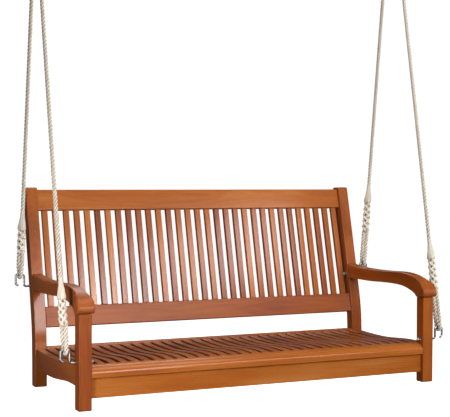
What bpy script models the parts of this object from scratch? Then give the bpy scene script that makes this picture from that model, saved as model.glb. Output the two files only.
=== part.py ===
"""Porch swing: a slatted hardwood bench hung by four ropes from two ceiling hooks.

Units are metres, +Z is up, and the bench faces -Y, so its left side here is the -X side.
The world origin is the middle of the line that the swing turns about, which runs along X
through the bottoms of the two ceiling hooks. The bench itself is drawn in its own frame:
x from its middle, y back from the front of the front posts, z up from its feet.
"""

import math

import bmesh
import bpy
from mathutils import Matrix, Vector

# ---- driving dimensions ----------------------------------------------------------------
WIDTH = 1.250  # over the posts
DEPTH = 0.484  # front of the front posts to back of the rear posts, at the feet
HEIGHT = 0.652  # feet to the tops of the rear posts
POST = 0.040  # all four posts are this square
RAKE = 0.245  # how far the back leans for each metre of height
BEND_HEIGHT = 0.192  # where the rear posts turn from upright to raked
BEND_SPREAD = 0.060  # how softly they turn
FIT = 0.0003  # gap left between pieces that touch

AXIS_DEPTH = 0.320  # the hang axis stands over the bench's centre of mass
AXIS_HEIGHT = 1.675  # of the hang axis over the feet
ROPE_OUTSIDE = 0.036  # from a post's outer face to the rope

SEAT_SLATS = 32
SEAT_SLAT_PITCH = 0.0372
SEAT_SLAT_WIDTH = 0.023
SEAT_SLAT_THICKNESS = 0.014
SEAT_MEAN = 0.12835  # height halfway between the seat's front crest and its dip
SEAT_SWELL = 0.00515  # half of what the dip lies below the crest
SEAT_CREST = 0.10  # distance back of the crest
SEAT_DIP = 0.30  # and of the dip
SEAT_REAR_RISE = 0.0036  # from the dip up to the rear rail
SEAT_BACK = 0.4457  # where the slats end

BACK_SLATS = 31
BACK_SLAT_PITCH = 0.0374
BACK_SLAT_WIDTH = 0.020
BACK_SLAT_THICKNESS = 0.014
BACK_RAIL_THICKNESS = 0.022
BACK_RAIL_RECESS = 0.009  # of the rails' faces behind the posts' faces
BACK_SLAT_RECESS = 0.013
TOP_RAIL_SPAN = (0.5960, 0.6660)  # measured up the rake from the feet
BOTTOM_RAIL_SPAN = (0.2030, 0.2700)

ARM_POST_TOP = 0.2865  # height of the front posts, under the arms
ARM_WIDTH = 0.037
ARM_FRONT_WIDTH = 0.054
ARM_FLARE = 0.064  # how far back from the posts' faces the arm starts to widen
ARM_FRONT = -0.013  # the arm's nose stands this far before the post
ARM_NOSE_RADIUS = 0.007

HOOK_WIRE = 0.0035  # radius
HOOK_ARCH_HEIGHT = 0.040  # from the shank up to the wire that the rope passes under
HOOK_ARCH_WIDTH = 0.028
FRONT_HOOK_HEIGHT = 0.1430
REAR_HOOK_HEIGHT = 0.3280
NUT_RADIUS = 0.0065
NUT_LENGTH = 0.0125
WASHER_RADIUS = 0.009
WASHER_THICKNESS = 0.0016

ROPE_RADIUS = 0.0065
ROPE_STEP = 0.035  # between the points of a rope
ROPE_TOP_OFFSET = 0.008  # front and rear rope hang this far each side of the hook's middle

CEILING_WIRE = 0.004
CEILING_PLATE_RADIUS = 0.038
CEILING_PLATE_BOTTOM = 0.062
CEILING_PLATE_THICKNESS = 0.006
CEILING_SCREW_CIRCLE = 0.028
CEILING_SCREW_HOLE = 0.003

# ---- derived ---------------------------------------------------------------------------
INNER = WIDTH / 2 - POST  # inner faces of the posts
POST_X = WIDTH / 2 - POST / 2
ROPE_X = WIDTH / 2 + ROPE_OUTSIDE
RAKE_ANGLE = math.atan(RAKE)
REAR_POST_Y = DEPTH - POST  # front face of the upright part of a rear post
SIDES = (("left", -1), ("right", 1))

WOOD = {"name": "oiled_hardwood", "color": (0.42, 0.13, 0.035), "roughness": 0.42, "metallic": 0.0}
SLAT_WOOD = {"name": "slat_hardwood", "color": (0.46, 0.17, 0.06), "roughness": 0.45, "metallic": 0.0}
STEEL = {"name": "zinc_plated_steel", "color": (0.66, 0.67, 0.69), "roughness": 0.28, "metallic": 1.0}
ROPE = {"name": "twisted_rope", "color": (0.74, 0.67, 0.54), "roughness": 0.9, "metallic": 0.0}


# ---- scene helpers ---------------------------------------------------------------------
def clear_scene():
    for obj in list(bpy.data.objects):
        bpy.data.objects.remove(obj)


def add_collection(name):
    collection = bpy.data.collections.new(name)
    bpy.context.scene.collection.children.link(collection)
    return collection


def add_material(spec):
    made = bpy.data.materials.get(spec["name"])
    if made is None:
        made = bpy.data.materials.new(spec["name"])
        made.use_nodes = True
        shader = made.node_tree.nodes["Principled BSDF"]
        shader.inputs["Base Color"].default_value = (*spec["color"], 1)
        shader.inputs["Roughness"].default_value = spec["roughness"]
        shader.inputs["Metallic"].default_value = spec["metallic"]
    return made


def add_empty(name, location, parent=None):
    empty = bpy.data.objects.new(name, None)
    parts.objects.link(empty)
    empty.parent = parent
    empty.location = location
    return empty


def adopt(obj, collection):
    """Move an object that an operator made into one of this model's collections."""
    for old in list(obj.users_collection):
        old.objects.unlink(obj)
    collection.objects.link(obj)


def finish_part(obj, name, spec, parent):
    obj.name = name
    obj.data.name = name
    adopt(obj, parts)
    obj.parent = parent
    obj.data.materials.clear()
    obj.data.materials.append(add_material(spec))
    return obj


def apply_scale(obj):
    obj.data.transform(Matrix.Diagonal((*obj.scale, 1)))
    obj.scale = (1, 1, 1)


def ease_edges(obj, width):
    bevel = obj.modifiers.new("eased edges", "BEVEL")
    bevel.width = width
    bevel.segments = 1
    bevel.limit_method = "ANGLE"
    bevel.angle_limit = math.radians(40)


def board(name, size, centre, spec, parent, tilt=0.0, edge=0.002):
    """A straight board. tilt leans its top back."""
    bpy.ops.mesh.primitive_cube_add(size=1)
    obj = bpy.context.object
    obj.scale = size
    apply_scale(obj)
    obj.location = centre
    obj.rotation_euler = (-tilt, 0, 0)
    if edge:
        ease_edges(obj, edge)
    return finish_part(obj, name, spec, parent)


def outline_curve(points, thickness, plane):
    """A flat closed outline with a thickness, as a curve. plane "YZ" is a side view, "XY" a plan."""
    curve = bpy.data.curves.new("outline", "CURVE")
    curve.dimensions = "2D"
    curve.fill_mode = "BOTH"
    curve.extrude = thickness / 2
    spline = curve.splines.new("POLY")
    spline.points.add(len(points) - 1)
    for point, (a, b) in zip(spline.points, points):
        point.co = (a, b, 0, 1)
    spline.use_cyclic_u = True
    obj = bpy.data.objects.new("outline", curve)
    bpy.context.scene.collection.objects.link(obj)
    if plane == "YZ":
        obj.rotation_euler = (math.pi / 2, 0, math.pi / 2)
    return obj


def curve_to_mesh(obj):
    """The same shape as one closed mesh, with the curve removed."""
    bpy.context.view_layer.update()
    graph = bpy.context.evaluated_depsgraph_get()
    mesh = bpy.data.meshes.new_from_object(obj.evaluated_get(graph))
    mesh.transform(obj.matrix_world)
    edit = bmesh.new()
    edit.from_mesh(mesh)
    bmesh.ops.remove_doubles(edit, verts=edit.verts, dist=1e-6)
    bmesh.ops.recalc_face_normals(edit, faces=edit.faces)
    edit.to_mesh(mesh)
    edit.free()
    bpy.data.objects.remove(obj)
    solid = bpy.data.objects.new("solid", mesh)
    bpy.context.scene.collection.objects.link(solid)
    return solid


def extruded(points, thickness, plane="YZ"):
    return curve_to_mesh(outline_curve(points, thickness, plane))


def make_cutter(obj, name, parent):
    obj.name = name
    adopt(obj, cutters)
    obj.parent = parent
    obj.hide_render = True
    obj.display_type = "WIRE"
    return obj


def boolean(obj, operand, operation):
    modifier = obj.modifiers.new(operation.lower(), "BOOLEAN")
    modifier.operation = operation
    modifier.object = operand


def cylinder_along(axis, radius, length, centre, sides):
    turn = {"X": (0, math.pi / 2, 0), "Z": (0, 0, 0)}[axis]
    bpy.ops.mesh.primitive_cylinder_add(
        vertices=sides, radius=radius, depth=length, location=centre, rotation=turn
    )
    return bpy.context.object


def smooth_round(obj):
    obj.data.shade_smooth()
    obj.data.set_sharp_from_angle(angle=math.radians(40))


# ---- shape helpers ---------------------------------------------------------------------
def arc(centre, radii, start, end, steps):
    """Points of an elliptical arc, angles in degrees."""
    found = []
    for i in range(steps + 1):
        angle = math.radians(start + (end - start) * i / steps)
        found.append((centre[0] + radii[0] * math.cos(angle), centre[1] + radii[1] * math.sin(angle)))
    return found


def smoothstep(t):
    t = min(max(t, 0.0), 1.0)
    return t * t * (3 - 2 * t)


def through(points, steps):
    """A smooth line through a few points: Catmull-Rom, with steps between each pair."""
    ends = [Vector(point) for point in (points[0], *points, points[-1])]
    line = []
    for before, a, b, after in zip(ends, ends[1:], ends[2:], ends[3:]):
        for i in range(steps):
            t = i / steps
            bend = (2 * before - 5 * a + 4 * b - after) * t**2
            twist = (3 * a - before - 3 * b + after) * t**3
            line.append(0.5 * (2 * a + (b - before) * t + bend + twist))
    return [*line, points[-1]]


def bent_wire(corners, steps=4):
    """The centre line of a wire through corners, each (x, z, bend radius)."""
    line = [Vector(corners[0][:2])]
    for before, here, after in zip(corners, corners[1:], corners[2:]):
        corner = Vector(here[:2])
        back = (Vector(before[:2]) - corner).normalized()
        ahead = (Vector(after[:2]) - corner).normalized()
        half = back.angle(ahead) / 2
        reach = here[2] / math.tan(half)
        start, end = corner + back * reach, corner + ahead * reach
        for i in range(steps + 1):
            t = i / steps
            line.append(start.lerp(corner, t).lerp(corner.lerp(end, t), t))
    return [*line, Vector(corners[-1][:2])]


def tube(name, points, radius, spec, parent):
    curve = bpy.data.curves.new(name, "CURVE")
    curve.dimensions = "3D"
    curve.bevel_depth = radius
    curve.bevel_resolution = 2
    curve.use_fill_caps = True
    spline = curve.splines.new("POLY")
    spline.points.add(len(points) - 1)
    for point, place in zip(spline.points, points):
        point.co = (*place, 1)
    return finish_part(bpy.data.objects.new(name, curve), name, spec, parent)


# ---- the bench's own lines -------------------------------------------------------------
def rear_face(height):
    """How far back a rear post's rear face is, at a height over the feet."""
    above = height - BEND_HEIGHT
    return DEPTH + RAKE / 2 * (above + math.hypot(above, BEND_SPREAD))


def on_back(along, behind):
    """(y, z) at a distance up the raked back and a distance behind the rear posts' faces."""
    foot = REAR_POST_Y - RAKE * BEND_HEIGHT
    lean, rise = math.sin(RAKE_ANGLE), math.cos(RAKE_ANGLE)
    return foot + along * lean + behind * rise, along * rise - behind * lean


def seat_height(back):
    """Height of the seat's top surface at a distance back from the front posts' faces."""
    if back < SEAT_DIP:
        wave = math.cos(math.pi * (back - SEAT_CREST) / (SEAT_DIP - SEAT_CREST))
        return SEAT_MEAN + SEAT_SWELL * wave
    return SEAT_MEAN - SEAT_SWELL + SEAT_REAR_RISE * ((back - SEAT_DIP) / (SEAT_BACK - SEAT_DIP)) ** 2


# ---- posts and arms --------------------------------------------------------------------
def drill_post(post, name, side, back, height):
    """The hole that a rope hook's shank passes through."""
    centre = (side * POST_X, back, height)
    drill = cylinder_along("X", HOOK_WIRE + FIT, POST * 1.5, centre, 16)
    boolean(post, make_cutter(drill, f"drill_{name}", bench), "DIFFERENCE")


def add_front_post(name, side):
    centre = (side * POST_X, POST / 2, ARM_POST_TOP / 2)
    post = board(name, (POST, POST, ARM_POST_TOP - FIT), centre, WOOD, bench, edge=0.0025)
    drill_post(post, name, side, POST / 2, FRONT_HOOK_HEIGHT)


def add_rear_post(name, side):
    bend = [BEND_HEIGHT + BEND_SPREAD * k / 2 for k in range(-4, 5)]
    ease = 0.004
    top = HEIGHT
    heights = [ease, *bend, top - ease]
    front = [(rear_face(z) - POST, z) for z in heights]
    back = [(rear_face(z), z) for z in heights]
    foot = [(back[0][0] - ease, 0), (front[0][0] + ease, 0)]
    crown = [(rear_face(top) - POST + ease, top), (rear_face(top) - ease, top)]
    outline = [*foot, *front, *crown, *reversed(back)]
    post = extruded(outline, POST)
    post.location.x = side * POST_X
    finish_part(post, name, WOOD, bench)
    ease_edges(post, 0.0025)
    drill_post(post, name, side, rear_hook_depth(), REAR_HOOK_HEIGHT)


def rear_hook_depth():
    return rear_face(REAR_HOOK_HEIGHT) - POST / 2


def arm_side_outline():
    """The arm seen from the side: nearly level, a hump over the seat, then a drooping nose."""
    rear_top, rear_bottom = 0.3675, 0.3160
    top = through(
        [
            (rear_face(rear_top) - POST - FIT, rear_top),
            (0.410, 0.3602),
            (0.330, 0.3580),
            (0.240, 0.3588),
            (0.150, 0.3618),
            (0.092, 0.3585),
            (0.047, 0.3485),
            (0.014, 0.3350),
            (-0.006, 0.3185),
            (ARM_FRONT, 0.3010),
        ],
        2,
    )
    nose = [(ARM_FRONT, ARM_POST_TOP + 0.006), (ARM_FRONT + 0.006, ARM_POST_TOP + FIT)]
    underside = through(
        [
            (POST - 0.002, ARM_POST_TOP + FIT),
            (0.082, 0.3046),
            (0.112, 0.3123),
            (0.155, 0.3178),
            (0.220, 0.3184),
            (0.334, 0.3150),
            (rear_face(rear_bottom) - POST - FIT, rear_bottom),
        ],
        2,
    )
    return [*top, *nose, *underside]


def arm_half_width(back):
    flare = smoothstep((ARM_FLARE - back) / ARM_FLARE)
    return ARM_WIDTH / 2 + (ARM_FRONT_WIDTH - ARM_WIDTH) / 2 * flare


def arm_plan_outline():
    """The arm from above: as wide as a post at the back, wider and round-cornered in front."""
    shoulder = ARM_FRONT + ARM_NOSE_RADIUS
    backs = [0.560, *(ARM_FLARE * (1 - k / 6) for k in range(6)), shoulder]
    right = [(arm_half_width(back), back) for back in backs]
    corner = arc(
        (ARM_FRONT_WIDTH / 2 - ARM_NOSE_RADIUS, shoulder), (ARM_NOSE_RADIUS, ARM_NOSE_RADIUS), 0, -90, 4
    )
    half = [*right, *corner[1:]]
    return [*half, *((-x, y) for x, y in reversed(half))]


def add_arm(name, side):
    arm = extruded(arm_side_outline(), ARM_FRONT_WIDTH * 1.2)
    plan = extruded(arm_plan_outline(), 0.5, plane="XY")
    plan.location = (side * POST_X, 0, 0.33)
    arm.location.x = side * POST_X
    finish_part(arm, name, WOOD, bench)
    boolean(arm, make_cutter(plan, f"plan_{name}", bench), "INTERSECT")


# ---- seat ------------------------------------------------------------------------------
def add_side_rail(name, side):
    """Joins a front post to a rear post, with its top edge dished like the seat."""
    start, end = POST + FIT, REAR_POST_Y - FIT
    thickness, inset, below_seat = 0.024, 0.006, 0.003
    steps = 12
    backs = [start + (end - start) * k / steps for k in range(steps + 1)]
    top = [(back, seat_height(back) - below_seat) for back in backs]
    bottom = through([(start, 0.0676), (0.130, 0.0690), (0.220, 0.0615), (0.300, 0.0570), (end, 0.0580)], 3)
    rail = extruded([*top, *reversed(bottom)], thickness)
    rail.location.x = side * (WIDTH / 2 - inset - thickness / 2)
    finish_part(rail, name, WOOD, bench)
    ease_edges(rail, 0.0015)


APRON_RECESS = 0.012
APRON_THICKNESS = 0.020
APRON_BOTTOM = 0.035
NOSING_BOTTOM = 0.0955
NOSING_DEPTH = 0.045
BETWEEN_POSTS = 2 * (INNER - FIT)


def add_front_apron():
    height = NOSING_BOTTOM - FIT - APRON_BOTTOM
    centre = (0, APRON_RECESS + APRON_THICKNESS / 2, APRON_BOTTOM + height / 2)
    board("front_apron", (BETWEEN_POSTS, APRON_THICKNESS, height), centre, WOOD, bench)


def add_front_nosing():
    """The rounded board along the seat's front edge."""
    round_depth, round_height = 0.030, 0.0225
    rear = NOSING_DEPTH
    crown = seat_height(rear)
    ease = 0.0015
    front_arc = arc((round_depth, crown - 0.0008 - round_height), (round_depth, round_height), 180, 90, 7)
    outline = [
        (ease, NOSING_BOTTOM),
        (0, NOSING_BOTTOM + ease),
        *front_arc,
        (rear, crown),
        (rear, NOSING_BOTTOM),
    ]
    nosing = extruded(outline, BETWEEN_POSTS)
    finish_part(nosing, "seat_front_nosing", WOOD, bench)


def add_rear_seat_rail():
    thickness, bottom, top = 0.028, 0.070, 0.1305
    centre = (0, SEAT_BACK + FIT + thickness / 2, (bottom + top) / 2)
    board("rear_seat_rail", (BETWEEN_POSTS, thickness, top - bottom), centre, WOOD, bench, edge=0.003)


def slat_outline(start, end, steps=10):
    backs = [start + (end - start) * k / steps for k in range(steps + 1)]
    top = [(back, seat_height(back)) for back in backs]
    under = [(back, seat_height(back) - SEAT_SLAT_THICKNESS) for back in backs]
    return [*top, *reversed(under)]


def add_seat_slats():
    """The front-to-back slats, held as one grille by the two strips under their ends."""
    start, end = NOSING_DEPTH + FIT, SEAT_BACK
    slats = []
    for index in range(SEAT_SLATS):
        slat = extruded(slat_outline(start, end), SEAT_SLAT_WIDTH)
        across = (index - (SEAT_SLATS - 1) / 2) * SEAT_SLAT_PITCH
        slat.data.transform(Matrix.Translation((across, 0, 0)))
        slats.append(slat)
    grille = slats[0]
    edit = bmesh.new()
    for slat in slats:
        edit.from_mesh(slat.data)
    edit.to_mesh(grille.data)
    edit.free()
    for slat in slats[1:]:
        bpy.data.objects.remove(slat)
    finish_part(grille, "seat_slats", SLAT_WOOD, bench)
    bite = 0.003  # how far the strips reach up into the slats
    depth, height = 0.018, 0.012
    for label, near in (("front", start), ("rear", end - depth)):
        lowest = min(seat_height(near), seat_height(near + depth)) - SEAT_SLAT_THICKNESS
        bpy.ops.mesh.primitive_cube_add(size=1)
        strip = bpy.context.object
        strip.scale = ((SEAT_SLATS - 1) * SEAT_SLAT_PITCH, depth - 2 * FIT, height)
        apply_scale(strip)
        strip.location = (0, near + depth / 2, lowest + bite - height / 2)
        boolean(grille, make_cutter(strip, f"{label}_strip", bench), "UNION")


def add_seat_cross_batten():
    """Carries the middle of the slats, from side rail to side rail."""
    depth, height = 0.026, 0.030
    top = seat_height(SEAT_DIP) - SEAT_SLAT_THICKNESS - FIT
    length = 2 * (WIDTH / 2 - 0.006 - 0.024 - FIT)
    centre = (0, SEAT_DIP, top - height / 2)
    board("seat_cross_batten", (length, depth, height), centre, WOOD, bench)


# ---- back ------------------------------------------------------------------------------
def add_back_board(name, across, width, span, recess, thickness, spec, edge):
    y, z = on_back((span[0] + span[1]) / 2, recess + thickness / 2)
    size = (width, thickness, span[1] - span[0])
    board(name, size, (across, y, z), spec, bench, tilt=RAKE_ANGLE, edge=edge)


def add_back():
    for name, span in (("back_top_rail", TOP_RAIL_SPAN), ("back_bottom_rail", BOTTOM_RAIL_SPAN)):
        add_back_board(name, 0, BETWEEN_POSTS, span, BACK_RAIL_RECESS, BACK_RAIL_THICKNESS, WOOD, 0.003)
    span = (BOTTOM_RAIL_SPAN[1] + FIT, TOP_RAIL_SPAN[0] - FIT)
    for index in range(BACK_SLATS):
        across = (index - (BACK_SLATS - 1) / 2) * BACK_SLAT_PITCH
        name = f"back_slat_{index + 1:02d}"
        add_back_board(
            name, across, BACK_SLAT_WIDTH, span, BACK_SLAT_RECESS, BACK_SLAT_THICKNESS, SLAT_WOOD, 0.0015
        )


# ---- rope hooks ------------------------------------------------------------------------
def add_rope_hook(name, side, back, height):
    """A bent steel rod: a shank through the post, and outside it an arch that holds the rope down."""
    near = side * (ROPE_X - HOOK_ARCH_WIDTH / 2)
    far = side * (ROPE_X + HOOK_ARCH_WIDTH / 2)
    shank_end = side * (INNER - 0.008)
    crown = height + HOOK_ARCH_HEIGHT
    corners = [
        (shank_end, height, 0),
        (near, height, 0.007),
        (near, crown, 0.009),
        (far, crown, 0.009),
        (far, height + 0.008, 0.006),
        (far - side * 0.009, height + 0.002, 0),
    ]
    line = [(x, back, z) for x, z in bent_wire(corners)]
    tube(name, line, HOOK_WIRE, STEEL, bench)


def add_cap_nut(name, side, back, height):
    """A domed nut with its washer, screwed on the shank's end at the post's inner face."""
    bore, bore_depth = HOOK_WIRE + FIT, 0.0095
    dome = arc((NUT_LENGTH - NUT_RADIUS, 0), (NUT_RADIUS, NUT_RADIUS), 90, 0, 4)
    profile = [
        (bore_depth, 0),
        (bore_depth, bore),
        (0, bore),
        (0, WASHER_RADIUS),
        (WASHER_THICKNESS, WASHER_RADIUS),
        (WASHER_THICKNESS, NUT_RADIUS),
        *dome,
    ]
    mesh = bpy.data.meshes.new(name)
    edit = bmesh.new()
    # Turned about local Z: the dome points up, and the profile runs down the outside.
    verts = [edit.verts.new((radius, 0, length)) for length, radius in reversed(profile)]
    for a, b in zip(verts, verts[1:]):
        edit.edges.new((a, b))
    edit.to_mesh(mesh)
    edit.free()
    nut = bpy.data.objects.new(name, mesh)
    bpy.context.scene.collection.objects.link(nut)
    screw = nut.modifiers.new("turned", "SCREW")
    screw.steps = screw.render_steps = 12
    screw.use_merge_vertices = True
    screw.merge_threshold = 1e-5
    nut.rotation_euler = (0, -side * math.pi / 2, 0)
    nut.location = (side * (INNER - FIT), back, height)
    finish_part(nut, name, STEEL, bench)


# ---- ropes and ceiling hooks -----------------------------------------------------------
def add_rope(name, side, back, hook_height, top_offset):
    """A taut rope, from just over the arch of its rope hook to just under the ceiling hook's wire."""
    clear = 0.001
    foot = Vector((side * ROPE_X, back, hook_height + HOOK_ARCH_HEIGHT))
    foot += Vector((0, -AXIS_DEPTH, -AXIS_HEIGHT))
    head = Vector((side * ROPE_X + top_offset, 0, 0))
    pull = (head - foot).normalized()
    foot += pull * (HOOK_WIRE + clear + ROPE_RADIUS * abs(pull.y) / pull.z)
    head -= pull * (CEILING_WIRE + clear)
    count = round((head - foot).length / ROPE_STEP)
    points = [foot.lerp(head, k / count) for k in range(count + 1)]
    tube(name, points, ROPE_RADIUS, ROPE, swing)


def add_ceiling_hook(name, side):
    """An open hook welded under a round plate. The ropes hang on its level bottom wire."""
    middle = side * ROPE_X
    corners = [
        (0, CEILING_PLATE_BOTTOM + CEILING_PLATE_THICKNESS / 2, 0),
        (0, 0.050, 0.008),
        (0.026, 0.032, 0.008),
        (0.026, 0, 0.010),
        (-0.026, 0, 0.010),
        (-0.026, 0.024, 0.006),
        (-0.031, 0.036, 0),
    ]
    wire = [(middle - side * x, 0, z) for x, z in bent_wire(corners)]
    rod = tube(name, wire, CEILING_WIRE, STEEL, None)
    hook = curve_to_mesh(rod)
    finish_part(hook, name, STEEL, ceiling)
    plate_middle = CEILING_PLATE_BOTTOM + CEILING_PLATE_THICKNESS / 2
    centre = (middle, 0, plate_middle)
    plate = cylinder_along("Z", CEILING_PLATE_RADIUS, CEILING_PLATE_THICKNESS, centre, 32)
    boolean(hook, make_cutter(plate, f"plate_{name}", ceiling), "UNION")
    for quarter in range(4):
        angle = math.radians(45 + 90 * quarter)
        place = (
            middle + CEILING_SCREW_CIRCLE * math.cos(angle),
            CEILING_SCREW_CIRCLE * math.sin(angle),
            plate_middle,
        )
        drill = cylinder_along("Z", CEILING_SCREW_HOLE, 0.02, place, 12)
        boolean(hook, make_cutter(drill, f"screw_{name}_{quarter + 1}", ceiling), "DIFFERENCE")
    smooth_round(hook)


# ---- build -----------------------------------------------------------------------------
clear_scene()
parts = add_collection("porch_swing")
cutters = add_collection("cutters")
ceiling = add_empty("ceiling", (0, 0, 0))
swing = add_empty("swing_axis", (0, 0, 0))
bench = add_empty("bench", (0, -AXIS_DEPTH, -AXIS_HEIGHT), parent=swing)

add_front_apron()
add_front_nosing()
add_rear_seat_rail()
add_seat_cross_batten()
add_seat_slats()
add_back()
for side_name, side_sign in SIDES:
    add_front_post(f"front_post_{side_name}", side_sign)
    add_rear_post(f"rear_post_{side_name}", side_sign)
    add_arm(f"arm_{side_name}", side_sign)
    add_side_rail(f"side_rail_{side_name}", side_sign)
    hooks = (
        ("front", POST / 2, FRONT_HOOK_HEIGHT, side_sign * ROPE_TOP_OFFSET),
        ("rear", rear_hook_depth(), REAR_HOOK_HEIGHT, -side_sign * ROPE_TOP_OFFSET),
    )
    for end_name, hook_back, hook_height, rope_offset in hooks:
        label = f"{end_name}_{side_name}"
        add_rope_hook(f"rope_hook_{label}", side_sign, hook_back, hook_height)
        add_cap_nut(f"cap_nut_{label}", side_sign, hook_back, hook_height)
        add_rope(f"rope_{label}", side_sign, hook_back, hook_height, rope_offset)
    add_ceiling_hook(f"ceiling_hook_{side_name}", side_sign)
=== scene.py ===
"""Porch swing: the looks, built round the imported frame.

Every visible piece is remade here at full detail in the place of its CAD node. Outlines are in
the bench's own frame: x from its middle, y back from the front of the front posts, z up from its
feet. at() puts a point of it into the shared frame, whose origin is on the hinge's axis.
"""

import math
import random

import bmesh
import bpy
import numpy as np
from mathutils import Matrix, Vector


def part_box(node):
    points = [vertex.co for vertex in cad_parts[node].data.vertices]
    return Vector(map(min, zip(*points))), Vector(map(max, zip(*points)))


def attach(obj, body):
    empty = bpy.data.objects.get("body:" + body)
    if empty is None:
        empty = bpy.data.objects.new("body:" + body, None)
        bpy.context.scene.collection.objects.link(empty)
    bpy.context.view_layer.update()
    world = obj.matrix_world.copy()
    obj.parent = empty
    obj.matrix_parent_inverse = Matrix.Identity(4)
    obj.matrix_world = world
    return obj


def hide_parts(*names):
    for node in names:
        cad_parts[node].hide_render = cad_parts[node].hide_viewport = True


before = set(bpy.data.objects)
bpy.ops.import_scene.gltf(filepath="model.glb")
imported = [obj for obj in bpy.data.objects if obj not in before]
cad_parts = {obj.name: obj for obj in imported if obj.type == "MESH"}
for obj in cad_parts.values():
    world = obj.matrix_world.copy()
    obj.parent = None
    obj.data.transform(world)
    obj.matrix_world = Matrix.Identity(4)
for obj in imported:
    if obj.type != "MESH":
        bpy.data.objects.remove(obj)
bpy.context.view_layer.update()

# ---- driving dimensions, in metres -----------------------------------------------------
RAKE = 0.245  # how far the back leans for each metre of height
RAKE_ANGLE = math.atan(RAKE)
BEND_HEIGHT = 0.192  # where the rear posts turn from upright to raked
BEND_SPREAD = 0.060  # how softly they turn

post_low, post_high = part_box("front_post_left")
BENCH = Vector((0, post_low.y, post_low.z))  # the bench's own origin
POST = post_high.x - post_low.x  # all four posts are this square
HALF_WIDTH = -post_low.x
INNER = HALF_WIDTH - POST  # inner faces of the posts
DEPTH = 0.484  # front of the front posts to back of the rear posts, at the feet
FRONT_POST_HEIGHT = post_high.z - post_low.z

SEAT_MEAN = 0.12835  # height halfway between the seat's front crest and its dip
SEAT_SWELL = 0.00515  # half of what the dip lies below the crest
SEAT_CREST = 0.10  # distance back of the crest
SEAT_DIP = 0.30  # and of the dip
SEAT_REAR_RISE = 0.0036  # from the dip up to the rear rail
SEAT_SLATS = 32
SEAT_SLAT_PITCH = 0.0372
SEAT_SLAT_WIDTH = 0.023
SEAT_SLAT_THICKNESS = 0.014
SEAT_STRIP = 0.018  # depth of the strips under the slats' ends

BACK_SLATS = 31
BACK_SLAT_THICKNESS = 0.014
BACK_SLAT_RECESS = 0.013  # of the slats' faces behind the posts' faces
SLAT_TILT = 0.0022  # the most that a slat's top leans out of line: no two lie quite in one plane
BACK_RAIL_THICKNESS = 0.022
BACK_RAIL_RECESS = 0.009
TOP_RAIL_SPAN = (0.5960, 0.6660)  # measured up the rake from the feet
BOTTOM_RAIL_SPAN = (0.2030, 0.2700)

ARM_WIDTH = 0.037
ARM_FRONT_WIDTH = 0.054
ARM_FLARE = 0.064  # how far back from the posts' faces the arm starts to widen
ARM_FRONT = -0.013  # the arm's nose stands this far before the post
ARM_CORNER = 0.007  # radius of the nose's corners, from above

HOOK_WIRE = 0.0035  # radius
HOOK_ARCH_HEIGHT = 0.040  # from the shank up to the wire that the rope passes under
HOOK_ARCH_WIDTH = 0.028
FRONT_HOOK_HEIGHT = 0.143
REAR_HOOK_HEIGHT = 0.328
NUT_LENGTH = 0.0125
NUT_CORNER = 0.0068  # radius over the hexagon's corners
NUT_DOME = 0.0052  # radius
WASHER_RADIUS = 0.0088
WASHER_THICKNESS = 0.0016

CEILING_WIRE = 0.004  # radius
CEILING_PLATE_BOTTOM = 0.062
CEILING_PLATE_THICKNESS = 0.006
CEILING_PLATE_RADIUS = 0.038
CEILING_SCREW_CIRCLE = 0.028

ROPE_RADIUS = 0.0069  # over the strands' crowns
ROPE_LAY = 0.036  # one turn of a strand
ROPE_TOP_OFFSET = 0.008  # front and rear rope hang this far each side of the hook's middle
STRAND = ROPE_RADIUS / (1 + 2 / math.sqrt(3))  # radius of one of three strands that touch
STRAND_RING = ROPE_RADIUS - STRAND
LOBE_STEPS = 9  # points across each strand

# Lengths along the rope: the eye, where the rope is doubled over a hook's wire, the tucks, where the
# tail's strands pass over and under the rope's own, and the taper, where their thinned ends lie.
SPLICES = {"left": (0.070, 0.084, 0.056), "right": (0.123, 0.119, 0.062)}
EYE_TWIST = math.radians(62)  # how far a lower eye's two legs turn about the rope before they meet
TUCK = 0.0105  # length of one tuck
BRAID_RING = 0.0083  # from the rope's middle to a tucked strand's
BRAID_STRAND = 0.0046  # radius
TAPER_SIDES = 60

plate_low, plate_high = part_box("ceiling_hook_right")
ROPE_X = (plate_low.x + plate_high.x) / 2
ALONG_X = Vector((1, 0, 0))
SIDES = (("left", -1), ("right", 1))
SWING, CEILING = "swing", "ceiling_hooks"


def at(x, y, z):
    """A point of the bench's own frame, in the shared frame."""
    return Vector((x, y, z)) + BENCH


# ---- camera, light and floor -----------------------------------------------------------
CAMERA_PLACE = (-1.7172, -3.5807, -0.9910)
CAMERA_YAW = 25.60  # degrees from straight ahead towards the right
CAMERA_PITCH = -1.464
CAMERA_ROLL = 0.193
CAMERA_LENS = 94.0  # mm
SENSOR_WIDTH = 36  # mm
FLOOR_BELOW_FEET = 0.30  # puts the seat at chair height
FLOOR_SIZE = 40


def add_camera():
    data = bpy.data.cameras.new("camera")
    data.lens = CAMERA_LENS
    data.sensor_width = SENSOR_WIDTH
    camera = bpy.data.objects.new("camera", data)
    bpy.context.scene.collection.objects.link(camera)
    aim = (
        Matrix.Rotation(math.radians(-CAMERA_YAW), 4, "Z")
        @ Matrix.Rotation(math.radians(90 + CAMERA_PITCH), 4, "X")
        @ Matrix.Rotation(math.radians(CAMERA_ROLL), 4, "Z")
    )
    camera.matrix_world = Matrix.Translation(CAMERA_PLACE) @ aim
    bpy.context.scene.camera = camera


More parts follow.
